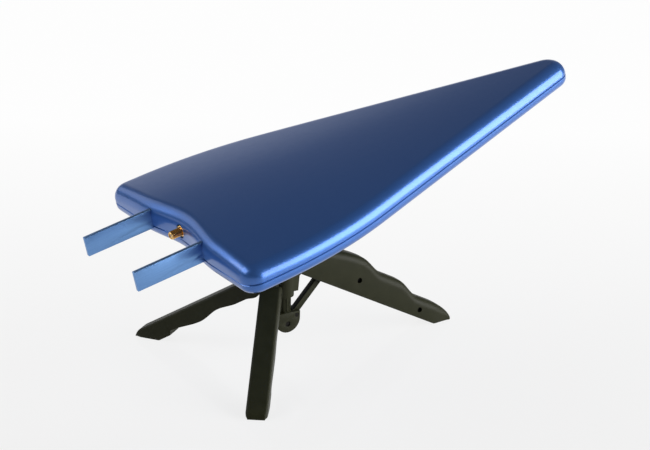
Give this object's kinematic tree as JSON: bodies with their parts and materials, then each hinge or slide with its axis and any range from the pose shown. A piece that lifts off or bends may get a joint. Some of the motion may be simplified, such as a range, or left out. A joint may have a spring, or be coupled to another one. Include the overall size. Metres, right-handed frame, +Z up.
{
  "type": "log-periodic antenna on a folding grip tripod",
  "caption": "Flat blue log-periodic measuring antenna with rear rails and a coaxial jack, tilting on a small folding tripod whose front leg is a finger-grooved grip.",
  "frame": {"origin": "on the floor, on the axis of the tripod's centre post", "axes": "+X the way the antenna points and the front leg reaches, +Y to the antenna's left, +Z up"},
  "size_m": [0.3808, 0.2, 0.1899],
  "materials": {
    "blue_paint": "satin metallic blue lacquer on moulded plastic",
    "rail_blue": "blue anodised flat bar",
    "gold": "gold plated, turned",
    "steel": "nickel plated",
    "black_steel": "blackened",
    "nylon": "fine moulded grain, black",
    "rubber": "matt",
    "copper": "etched copper",
    "board": "glass laminate",
    "ptfe": "white, waxy"
  },
  "bodies": {
    "base": {"crown": "nylon", "center_post": "nylon", "hub": "nylon", "hub_screw": "black_steel", "yoke": "nylon", "yoke_screw": "steel", "tilt_bolt": "steel", "strut_pivot_pin": "black_steel", "front_hinge_pin": "black_steel", "left_hinge_pin": "black_steel", "right_hinge_pin": "black_steel"},
    "head": {"platform": "nylon", "platform_pad": "rubber", "camera_stud": "steel", "upper_shell": "blue_paint", "lower_shell": "blue_paint", "element_board": "board", "upper_elements": "copper", "lower_elements": "copper", "feed_coax": "steel", "jack_body": "gold", "jack_insulator": "ptfe", "jack_contact": "gold", "jack_nut": "gold", "jack_washer": "steel", "left_rail": "rail_blue", "right_rail": "rail_blue", "rail_screws": "steel", "shell_screws": "steel", "stand_insert": "gold"},
    "front_leg": {"front_leg_left": "nylon", "front_leg_right": "nylon", "front_leg_screws": "black_steel"},
    "strut": {"strut": "nylon", "strut_guide_pin": "black_steel"},
    "left_leg": {"left_leg": "nylon"},
    "right_leg": {"right_leg": "nylon"},
    "tilt_knob": {"tilt_knob": "nylon"}
  },
  "joints": [
    {"name": "head_tilt", "type": "hinge", "parent": "base", "child": "head", "pos_m": [0, 0, 0.098], "axis": [0, 1, 0], "range_deg": [-31.5, 38]},
    {"name": "tilt_knob_turn", "type": "hinge", "parent": "base", "child": "tilt_knob", "pos_m": [0, 0, 0.098], "axis": [0, 1, 0], "range_deg": [0, 270]},
    {"name": "front_leg_fold", "type": "hinge", "parent": "base", "child": "front_leg", "pos_m": [0.014, 0, 0.071], "axis": [0, 1, 0], "range_deg": [0, 60]},
    {"name": "strut_swing", "type": "hinge", "parent": "base", "child": "strut", "pos_m": [0.0072, 0, 0.0312], "axis": [0, 1, 0], "range_deg": [-26, 0]},
    {"name": "left_leg_fold", "type": "hinge", "parent": "base", "child": "left_leg", "pos_m": [-0.01793, 0.01125, 0.0525], "axis": [-0.8039, -0.5948, 0], "range_deg": [0, 55]},
    {"name": "right_leg_fold", "type": "hinge", "parent": "base", "child": "right_leg", "pos_m": [-0.01793, -0.01125, 0.0525], "axis": [0.8039, -0.5948, 0], "range_deg": [0, 55]}
  ],
  "couplings": [
    {"joint": "strut_swing", "follows": "front_leg_fold", "ratio": -0.43}
  ]
}
